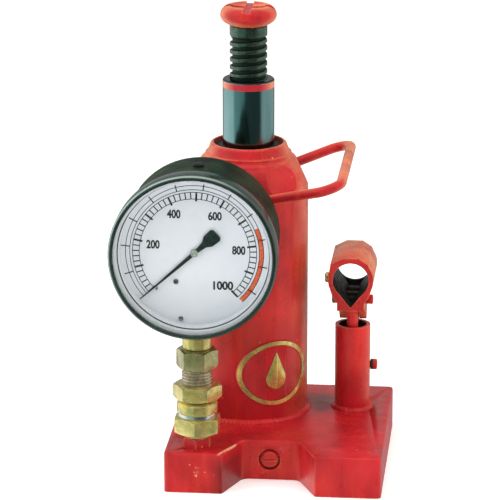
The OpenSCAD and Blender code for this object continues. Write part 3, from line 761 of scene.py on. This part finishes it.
def refined(node, material, width, segments=2, angle=28, regions=(), cuts=()):
    """Puts a rounded copy of a CAD node in its place.

    regions picks further materials by tests of a face's centre and normal; where two agree,
    the later one counts. cuts splits faces at planes (axis, value).
    """
    bm = cad_bmesh(node)
    round_edges(bm, width, segments, angle)
    for axis, value in cuts:
        normal = Vector((axis == 0, axis == 1, axis == 2))
        everything = bm.verts[:] + bm.edges[:] + bm.faces[:]
        bmesh.ops.bisect_plane(bm, geom=everything, plane_co=normal * value, plane_no=normal)
    for face in bm.faces:
        spot = face.calc_center_median()
        for index, (_, inside) in enumerate(regions, 1):
            if inside(spot, face.normal):
                face.material_index = index
    stand_in(node, bm, [material] + [key for key, _ in regions])


# ---- Rounded copies ----

X_AXIS = 0
Z_AXIS = 2

# Node, material and rounding of the copies that need nothing else
PLAIN_COPIES = (
    ("tank_tube", "red_tube", 0.3),
    ("port_boss", "red_cast", 0.5),
    ("release_screw", "red_cast", 0.25),
    ("lower_fitting", "brass", 0.3),
    ("sealing_washer", "zinc_steel", 0.3),
    ("swivel_collar", "brass", 0.35),
    ("union_nut", "brass", 0.35),
    ("top_nut", "olive_brass", 0.35),
    ("gauge_socket", "brass", 0.3),
    ("gauge_bezel", "bezel_black", 0.35),
    ("vent_plug", "seal_rubber", 0.4),
    ("filler_plug", "seal_rubber", 0.4),
    ("ram_wiper", "seal_rubber", 0.3),
    ("lever_lock_screw", "brass", 0.2),
)
for node, material, width in PLAIN_COPIES:
    refined(node, material, width)
refined("tank_head", "red_cast", 0.7, segments=3, angle=12)
refined("gauge_case", "black_enamel", 0.6, segments=3)

# The socket's pins are dark with oil and painted shade between its ears, and painted red where they
# come out on the right
PIN_BANDS = ((COLUMN.x - 9, "grime"), (COLUMN.x + 9, "red_cast"))
# Node, first material, rounding, axis, and the planes beyond which another material begins
# The link's top and the plunger's top are dark with oil and painted shade inside the socket.
BANDED_COPIES = (
    ("pump_link", "red_cast", 0.4, Z_AXIS, ((99, "grime"),)),
    ("plunger_pin", "rusty_pin", 0.3, X_AXIS, PIN_BANDS),
    ("link_pin", "rusty_pin", 0.3, X_AXIS, PIN_BANDS),
    ("link_lower_pin", "grime", 0.3, X_AXIS, ((COLUMN.x + 14.4, "red_cast"),)),
    ("pump_plunger", "steel", 0.3, Z_AXIS, ((82, "red_pump"), (103, "grime"))),
)


def beyond(axis, plane):
    """A test of whether a face lies beyond a plane."""
    return lambda spot, normal: spot[axis] > plane


for node, material, width, axis, bands in BANDED_COPIES:
    regions = [(key, beyond(axis, plane)) for plane, key in bands]
    refined(node, material, width, regions=regions, cuts=[(axis, plane) for plane, _ in bands])


def saddle():
    """The saddle, with duller red in its crossed grooves."""

    def in_groove(spot, normal):
        """True for the grooves' floors."""
        sunk = spot.z < SADDLE_TOP - 1.4 and normal.z > 0.6
        return sunk and min(abs(spot.x), abs(spot.y)) < 2.8

    refined("saddle", "red_cast", 0.8, segments=3, angle=22, regions=[("red_base", in_groove)])


def lever_socket():
    """The lever socket, dark with oil and painted shade low in its bore and in the tear-drop opening.
    """

    def oily(spot, normal):
        """True for the bore's lower inside and for the inside of the opening."""
        across = spot.x - COLUMN.x
        up = spot.z - SOCKET_AXIS
        if abs(normal.y) > 0.7 and (spot.y < 0 or normal.y > 0):
            return False
        in_bore = math.hypot(across, up) < SOCKET_BORE + 0.2 and up < 1.5
        in_drop = abs(across) < DROP_HALF and DROP_LOW < up < DROP_HIGH
        return in_bore or in_drop

    refined("lever_socket", "red_cast", 0.5, regions=[("grime", oily)])


def pump_column():
    """The pump's column, dark inside with oil and painted shade."""

    def inside(spot, normal):
        """True for faces that look towards the column's axis."""
        return (normal.x * (spot.x - COLUMN.x) + normal.y * (spot.y - COLUMN.y)) < -1

    refined("pump_column", "red_pump", 0.7, segments=3, regions=[("grime", inside)])


def badge_plate():
    """The badge, with its raised ring and drop gilt on a red ground."""
    raised = TANK_RADIUS + 0.95
    regions = [("badge_metal", lambda spot, normal: math.hypot(spot.x, spot.y) > raised)]
    refined("badge_plate", "red_tube", 0.15, segments=1, regions=regions)


def pointer():
    """The pointer, with a grey cap on its hub."""
    cap = DIAL_Y - 1.75
    regions = [("hub_grey", lambda spot, normal: spot.y < cap)]
    refined("pointer", "pointer_black", 0.08, segments=1, regions=regions)


saddle()
lever_socket()
pump_column()
badge_plate()
pointer()

# ---- Base casting ----


def base_outer(edge):
    """True for edges of the base's outline, and not of its drilled holes."""
    first, second = (v.co for v in edge.verts)
    if abs(first.z - second.z) > BASE_TOP - 1:
        return True
    if min(first.z, second.z) < BASE_TOP - 0.1:
        return False
    centre = (first + second) / 2
    outline = (
        centre.y < STEP_FACE + 1.3
        or centre.x < BASE_LOW.x + 1.1
        or centre.x > BASE_HIGH.x - 11.3
        or centre.y > BASE_HIGH.y - 1
    )
    clear_of_port = (centre.xy - Vector((GAUGE_X, PORT_Y))).length > 8
    return outline and clear_of_port


def base_casting():
    """The base, with its outline rounded and its holes left sharp."""
    bm = cad_bmesh("base_casting")
    round_edges(bm, 1.5, segments=4, angle=20, pick=base_outer)
    stand_in("base_casting", bm, ["red_base"], sharp=30)


base_casting()

# ---- Carry handle ----


def arc(centre, radius, start, end, count):
    """Points along an arc in the (x, y) plane, from start to end degrees."""
    turns = [math.radians(start + (end - start) * i / count) for i in range(count + 1)]
    return [(centre[0] + radius * math.cos(a), centre[1] + radius * math.sin(a)) for a in turns]


def handle_line():
    """The middle line of the handle's bar, before it is tilted and raised."""
    flare = math.radians(FLARE)
    arm_y = TANK_RADIUS + BAR + 0.1
    spread_x = ELBOW_X + ELBOW * math.sin(flare)
    spread_y = arm_y + ELBOW * (1 - math.cos(flare))
    arm = (REACH - CORNER * (1 + math.sin(flare)) - spread_x) / math.cos(flare)
    corner_y = spread_y + arm * math.sin(flare) - CORNER * math.cos(flare)
    half = [(ARM_START, arm_y)]
    half += arc((ELBOW_X, arm_y + ELBOW), ELBOW, -90, FLARE - 90, 8)
    half += arc((REACH - CORNER, corner_y), CORNER, FLARE + 90, 0, 22)
    return half + [(x, -y) for x, y in reversed(half)]


def swept_bar(line, radius, steps=32, thinner=0.5):
    """A round bar along a line in the (x, y) plane, slightly thinner at its two ends."""
    bm = bmesh.new()
    last = len(line) - 1
    rings = []
    for index, (x, y) in enumerate(line):
        run = Vector(line[min(index + 1, last)]) - Vector(line[max(index - 1, 0)])
        side = Vector((run.y, -run.x)).normalized()
        reach = radius - thinner * (index in (0, last))
        ring = []
        for step in range(steps):
            turn = 2 * math.pi * step / steps
            out = side * reach * math.cos(turn)
            ring.append(bm.verts.new((x + out.x, y + out.y, reach * math.sin(turn))))
        rings.append(ring)
    for ring, after in zip(rings, rings[1:]):
        for step in range(steps):
            bm.faces.new((ring[step], ring[step - 1], after[step - 1], after[step]))
    bm.faces.new(rings[0])
    bm.faces.new(rings[-1])
    return bm


def carry_handle():
    """The bent carry handle, sloping up to the right."""
    bm = swept_bar(handle_line(), BAR)
    tilt = Matrix.Rotation(math.radians(HANDLE_TILT), 3, "Y")
    bmesh.ops.rotate(bm, verts=bm.verts, matrix=tilt)
    bmesh.ops.translate(bm, verts=bm.verts, vec=(0, 0, HANDLE_Z))
    stand_in("carry_handle", bm, ["red_cast"], sharp=50)


carry_handle()

# ---- Threads ----


def helix(bm, root, crest, pitch, low, high, phase, crest_share, foot_share, steps=72):
    """A one-start right-hand thread: an open skin that follows its own spiral edges.

    crest_share and foot_share are the widths of the ridge's top and foot as parts of a pitch.
    """
    crest_half = crest_share / 2
    foot_half = foot_share / 2
    profile = [
        (0.0, root),
        (0.5 - foot_half, root),
        (0.5 - crest_half, crest - 0.15),
        (0.5 - crest_half + 0.05, crest),
        (0.5 + crest_half - 0.05, crest),
        (0.5 + crest_half, crest - 0.15),
        (0.5 + foot_half, root),
    ]
    run_out = 0.6 * pitch
    grid = []
    for turn in range(math.ceil((high - low) / pitch) + 2):
        for share, radius in profile:
            climb = (turn - 1 + share) * pitch
            line = []
            for step in range(steps + 1):
                angle = 2 * math.pi * step / steps
                z = low + climb + pitch * (step / steps + phase)
                fullness = min(max((z - low) / run_out, 0), max((high - z) / run_out, 0), 1)
                reach = root + (radius - root) * fullness
                z = min(max(z, low), high)
                line.append(bm.verts.new((reach * math.cos(angle), reach * math.sin(angle), z)))
            grid.append(line)
    for one, two in zip(grid, grid[1:]):
        for step in range(steps):
            bm.faces.new((one[step], one[step + 1], two[step + 1], two[step]))
    bmesh.ops.remove_doubles(bm, verts=bm.verts, dist=0.004)
    flat = [f for f in bm.faces if f.calc_area() < 1e-6]
    bmesh.ops.delete(bm, geom=flat, context="FACES")


def lathe(bm, profile, steps=96):
    """Turns (radius, height) points about the z axis."""
    rings = []
    for radius, z in profile:
        if radius == 0:
            rings.append([bm.verts.new((0, 0, z))] * steps)
            continue
        turns = [2 * math.pi * step / steps for step in range(steps)]
        rings.append([bm.verts.new((radius * math.cos(a), radius * math.sin(a), z)) for a in turns])
    for one, two in zip(rings, rings[1:]):
        for step in range(steps):
            after = (step + 1) % steps
            corners = [one[step], one[after], two[after], two[step]]
            distinct = list(dict.fromkeys(corners))
            if len(distinct) > 2:
                bm.faces.new(distinct)


def extension_screw():
    """The screw: a coarse thread on a chamfered foot, a neck, and a spigot in the saddle."""
    root = 11.2
    pitch = 5.5
    neck = 296.9
    spigot = 8
    top = 311.6
    bm = bmesh.new()
    helix(bm, root, SCREW_CREST, pitch, SCREW_LOW + 1.5, neck + 0.3, 0.1, 0.44, 0.6)
    lathe(
        bm,
        [
            (0, SCREW_LOW),
            (root - 1.1, SCREW_LOW),
            (root, SCREW_LOW + 1.2),
            (root, SCREW_LOW + 1.6),
        ],
    )
    lathe(
        bm,
        [
            (root - 0.1, neck),
            (SCREW_CREST - 0.6, neck),
            (SCREW_CREST - 0.15, neck + 0.3),
            (SCREW_CREST, neck + 0.7),
            (SCREW_CREST, SADDLE_BASE - 0.6),
            (SCREW_CREST - 0.4, SADDLE_BASE - 0.1),
            (spigot, SADDLE_BASE - 0.1),
            (spigot, top - 0.6),
            (spigot - 0.6, top),
            (0, top),
        ],
    )
    stand_in("extension_screw", bm, ["screw_steel"], sharp=30)


def threaded_nipple():
    """The nipple: a fine thread, a bore, and a spigot in the top nut."""
    root = 9.4
    crest = 10.5
    pitch = 2.3
    bore = 2
    spigot = 6
    low = 70.6
    shoulder = 86
    top = 91.9
    bm = bmesh.new()
    helix(bm, root, crest, pitch, low + 0.1, shoulder - 0.1, 0.0, 0.24, 0.86)
    lathe(bm, [(bore, low), (root, low), (root, low + 0.2)])
    lathe(
        bm,
        [
            (root, shoulder - 0.2),
            (root, shoulder),
            (spigot, shoulder),
            (spigot, top),
            (bore, top),
            (bore, low),
        ],
    )
    bmesh.ops.translate(bm, verts=bm.verts, vec=(GAUGE_X, PORT_Y, 0))
    stand_in("threaded_nipple", bm, ["nipple_zinc"], sharp=30)


extension_screw()
threaded_nipple()

# ---- Weld beads ----

# A bead stands this far off the faces that it joins
BEAD_GAP = 0.03


def bead_ring(bm, centre, tube, size, ripples, seed):
    """A rippled fillet weld on the base's top, round the foot of a tube."""
    profile = [
        (0.05, size),
        (0.3, 0.96 * size),
        (0.62 * size, 0.66 * size),
        (0.92 * size, 0.3 * size),
        (size, 0.03),
        (0, 0),
    ]
    radius = tube + BEAD_GAP
    foot = BASE_TOP + BEAD_GAP
    steps = int(2 * math.pi * radius / 0.9)
    rings = []
    for step in range(steps):
        angle = 2 * math.pi * step / steps
        wobble = noise.noise(Vector((math.cos(angle) * 4 + seed, math.sin(angle) * 4, seed)))
        swell = 1 + 0.1 * math.sin(angle * ripples) + 0.22 * wobble
        ring = []
        for out, up in profile:
            reach = radius + out * swell
            x = centre[0] + reach * math.cos(angle)
            y = centre[1] + reach * math.sin(angle)
            ring.append(bm.verts.new((x, y, foot + up * swell)))
        rings.append(ring)
    for one, two in zip(rings, rings[1:] + rings[:1]):
        for side in range(len(one)):
            after = (side + 1) % len(one)
            bm.faces.new((one[side], two[side], two[after], one[after]))


def handle_beads():
    """The CAD's own beads along the handle's arms, rounded, as a mesh in millimetres."""
    bm = cad_bmesh("weld_beads")
    at_base = [v for v in bm.verts if v.co.z < 100]
    bmesh.ops.delete(bm, geom=at_base, context="VERTS")
    round_edges(bm, 0.8, segments=3, angle=25)
    mesh = bpy.data.meshes.new("weld_holder")
    bm.to_mesh(mesh)
    bm.free()
    return mesh


def weld_beads():
    """The beads round the tank and the pump's column, and along the handle's arms."""
    bm = bmesh.new()
    bead_ring(bm, (0, 0), TANK_RADIUS, 2.7, ripples=96, seed=1)
    bead_ring(bm, (COLUMN.x, COLUMN.y), COLUMN_RADIUS, 2.5, ripples=30, seed=5)
    holder = handle_beads()
    bm.from_mesh(holder)
    bpy.data.meshes.remove(holder)
    stand_in("weld_beads", bm, ["red_weld"], sharp=60)


weld_beads()

# ---- Dial print ----

PRINT_Y = DIAL_Y - 0.03

# Inner and outer radii of the scale's rings, of its red zone and of its coarser outer marks
RINGS = ((37.0, 37.5), (41.6, 42.1), (43.4, 43.9), (46.3, 46.8))
RED_ZONE = (43.9, 46.6)
OUTER_MARKS = (43.6, 50.4)
# Radii and widths of the scale's marks, every fifth of which is longer and wider
MARK_OUTER = 41.8
MARK_INNER = 37.2
LONG_MARK_INNER = 35.7
MARK_WIDTH = 0.8
LONG_MARK_WIDTH = 1.35
# The red zone's first angle, and the angle from one outer mark to the next
RED_ZONE_START = 23
OUTER_STEP = 23.3

# Each number's value, radius, angle and width
NUMBERS = (
    (200, 28.4, 169.5, 9),
    (400, 30, 117.5, 9.2),
    (600, 29.3, 61.8, 9.2),
    (800, 29.9, 4.6, 9),
    (1000, 29.6, -49.3, 13.5),
)
NUMBER_HEIGHT = 6.1


def on_dial(radius, angle):
    """A point of the dial's face: angle in degrees, counter-clockwise from +X."""
    turn = math.radians(angle)
    return (GAUGE_X + radius * math.cos(turn), PRINT_Y, GAUGE_Z + radius * math.sin(turn))


def scale_angle(value):
    """The dial angle of a reading."""
    return SCALE_START - SCALE_SWEEP * value / SCALE_END


def band(bm, inner, outer, start):
    """A flat arc on the dial, from an angle to the end of the scale."""
    end = scale_angle(SCALE_END)
    count = round((start - end) / 2)
    angles = [start + (end - start) * i / count for i in range(count + 1)]
    near = [bm.verts.new(on_dial(inner, a)) for a in angles]
    far = [bm.verts.new(on_dial(outer, a)) for a in angles]
    for i in range(count):
        bm.faces.new((near[i], near[i + 1], far[i + 1], far[i]))


def mark(bm, inner, outer, angle, width):
    """A flat radial line on the dial."""
    turn = math.radians(angle)
    side = Vector((-math.sin(turn), 0, math.cos(turn))) * width / 2
    low = Vector(on_dial(inner, angle))
    high = Vector(on_dial(outer, angle))
    corners = (low - side, low + side, high + side, high - side)
    bm.faces.new([bm.verts.new(p) for p in corners])


def dial_scale():
    """The scale's rings and marks, in black."""
    bm = bmesh.new()
    for inner, outer in RINGS:
        band(bm, inner, outer, SCALE_START)
    for count in range(51):
        angle = scale_angle(count * 20)
        if count % 5 == 0:
            mark(bm, LONG_MARK_INNER, MARK_OUTER, angle, LONG_MARK_WIDTH)
        else:
            mark(bm, MARK_INNER, MARK_OUTER, angle, MARK_WIDTH)
    for count in range(12):
        mark(bm, *OUTER_MARKS, SCALE_START - OUTER_STEP * count, MARK_WIDTH)
    finish_piece("dial_scale_print", bm, ["ink_black"], "base")


def dial_red_zone():
    """The red arc at the top of the scale."""
    bm = bmesh.new()
    band(bm, *RED_ZONE, RED_ZONE_START)
    finish_piece("dial_red_zone", bm, ["ink_red"], "base")


def text_mesh(name, text):
    """A flat mesh of plain text in the (x, y) plane."""
    curve = bpy.data.curves.new(name, "FONT")
    curve.body = text
    curve.size = mm(8)
    curve.offset = mm(0.3)
    shape = bpy.data.objects.new(name, curve)
    bpy.context.scene.collection.objects.link(shape)
    bpy.context.view_layer.update()
    graph = bpy.context.evaluated_depsgraph_get()
    mesh = bpy.data.meshes.new_from_object(shape.evaluated_get(graph))
    bpy.data.objects.remove(shape)
    return mesh


def dial_number(value, radius, angle, width):
    """A printed number on the dial, upright, centred at radius and angle."""
    name = f"dial_number_{value}"
    mesh = text_mesh(name, str(value))
    left, right = (end(v.co.x for v in mesh.vertices) for end in (min, max))
    foot, head = (end(v.co.y for v in mesh.vertices) for end in (min, max))
    scales = (mm(width) / (right - left), mm(NUMBER_HEIGHT) / (head - foot), 1, 1)
    mesh.transform(
        Matrix.Translation(Vector(on_dial(radius, angle)) * mm(1))
        @ Matrix.Rotation(math.radians(90), 4, "X")
        @ Matrix.Diagonal(scales)
        @ Matrix.Translation((-(left + right) / 2, -(foot + head) / 2, 0))
    )
    mesh.materials.clear()
    mesh.materials.append(MATS["ink_black"])
    add_piece(name, mesh, "base")


dial_scale()
dial_red_zone()
for value, radius, angle, width in NUMBERS:
    dial_number(value, radius, angle, width)

# ---- Floor ----

FLOOR_WHITE = (0.93, 0.93, 0.93)


def floor_paint():
    """Plain white that glows a little, so that the floor stays white under soft light."""
    t = Tree("floor_white")
    uneven = t.range(t.noise(300, 2), 0.3, 0.7)
    t.set(
        Base_Color=t.mix(uneven, FLOOR_WHITE, spread(FLOOR_WHITE, 0.985)),
        Roughness=0.7,
        Emission_Color=FLOOR_WHITE,
        Emission_Strength=0.3,
    )
    return t.material


def lay_floor():
    """A wide flat floor just under the object, which mirrors don't show."""
    mesh = bpy.data.meshes.new("floor")
    mesh.from_pydata([(-9, -5, 0), (9, -5, 0), (9, 13, 0), (-9, 13, 0)], [], [(0, 1, 2, 3)])
    mesh.materials.append(floor_paint())
    floor = bpy.data.objects.new("floor", mesh)
    floor.location.z = mm(-0.2)
    bpy.context.scene.collection.objects.link(floor)
    floor.visible_glossy = False


lay_floor()

# ---- Lights ----

# The point that the camera and the lamps look at, in metres
AIM = Vector((0.00102, 0, 0.1429))


def direction(azimuth, elevation):
    """From the object towards a viewer; azimuth 0 is in front, positive to the right."""
    a = math.radians(azimuth)
    e = math.radians(elevation)
    return Vector((math.sin(a) * math.cos(e), -math.cos(a) * math.cos(e), math.sin(e)))


def face_object(thing, azimuth, elevation, distance):
    """Stands a lamp or a camera at a bearing from the object, turned towards it."""
    thing.location = AIM + direction(azimuth, elevation) * distance
    thing.rotation_euler = (AIM - thing.location).to_track_quat("-Z", "Y").to_euler()
    bpy.context.scene.collection.objects.link(thing)


def soft_light(name, azimuth, elevation, distance, size, power, colour=(1, 1, 1)):
    """A large rectangular lamp that mirrors don't show."""
    lamp = bpy.data.lights.new(name, "AREA")
    lamp.shape = "RECTANGLE"
    lamp.size, lamp.size_y = size
    lamp.energy = power
    lamp.color = colour
    thing = bpy.data.objects.new(name, lamp)
    thing.visible_glossy = False
    face_object(thing, azimuth, elevation, distance)


soft_light("key_left", -62, 38, 1.8, (1.0, 1.4), 22, (1, 0.98, 0.95))
soft_light("fill_right", 68, 30, 1.9, (0.8, 1.4), 17, (1, 0.86, 0.7))
soft_light("top_soft", 10, 82, 1.9, (1.6, 1.6), 18)
soft_light("front_soft", 4, 14, 2.6, (1.6, 0.9), 7)

# ---- World ----

# What mirrors see all round: two tall soft panels, left and right of a dark front. Each row is
# a share of a turn that starts straight behind and goes by the left, then the level of red
# there, and that of green and blue.
PANELS = (
    (0.0, 0.4, 0.42),
    (0.11, 0.5, 0.5),
    (0.13, 1.1, 1.15),
    (0.31, 1.15, 1.2),
    (0.335, 0.42, 0.6),
    (0.45, 0.3, 0.46),
    (0.48, 0.07, 0.09),
    (0.66, 0.06, 0.08),
    (0.69, 0.72, 0.74),
    (0.89, 0.7, 0.74),
    (0.92, 0.3, 0.33),
    (1.0, 0.4, 0.42),
)
# What they see from straight down (0) to straight up (1): a pale floor and a pale ceiling.
LEVELS = ((0.0, 0.4), (0.2, 0.3), (0.3, 0.0), (0.72, 0.0), (0.84, 0.7), (1.0, 0.9))
EVEN_STRENGTH = 0.55


def ramp(t, share, stops):
    """A colour that goes through (place, red, green, blue) stops as share goes from 0 to 1."""
    made = t.add("ShaderNodeValToRGB")
    t.feed(made.inputs[0], share)
    elements = made.color_ramp.elements
    for stop in stops[1:-1]:
        elements.new(stop[0])
    for element, (place, *colour) in zip(elements, stops):
        element.position = place
        element.color = (*colour, 1)
    return made.outputs[0]


def background(t, colour, strength=1.0):
    """A background shader."""
    made = t.add("ShaderNodeBackground")
    t.feed(made.inputs["Color"], colour)
    t.feed(made.inputs["Strength"], strength)
    return made.outputs[0]


def studio_world():
    """An even white for everything but mirrors, which see the panels."""
    world = bpy.data.worlds.new("studio")
    bpy.context.scene.world = world
    t = Nodes(world)
    t.nodes.clear()
    look = t.split(t.add("ShaderNodeTexCoord").outputs["Generated"])
    bearing = t.math("ARCTAN2", look["X"], t.times(look["Y"], -1))
    around = ramp(t, t.range(bearing, -math.pi, math.pi), [(p, r, g, g) for p, r, g in PANELS])
    upright = ramp(t, t.range(look["Z"], -1, 1), [(p, v, v, v) for p, v in LEVELS])
    mirrored = background(t, t.mix(1, around, upright, "LIGHTEN"))
    even = background(t, (1, 1, 1), EVEN_STRENGTH)
    is_mirror = t.add("ShaderNodeLightPath").outputs["Is Glossy Ray"]
    output = t.add("ShaderNodeOutputWorld")
    t.feed(output.inputs["Surface"], t.either(is_mirror, even, mirrored))


studio_world()

# ---- Camera ----

CAMERA_AZIMUTH = 5.39
CAMERA_ELEVATION = 16.0
CAMERA_DISTANCE = 2.2764
CAMERA_LENS = 233.5

view = bpy.context.scene.view_settings
view.view_transform = "Standard"
view.look = "None"

lens = bpy.data.cameras.new("camera")
lens.lens = CAMERA_LENS
lens.sensor_width = 36
lens.clip_end = 40
camera = bpy.data.objects.new("camera", lens)
face_object(camera, CAMERA_AZIMUTH, CAMERA_ELEVATION, CAMERA_DISTANCE)
bpy.context.scene.camera = camera
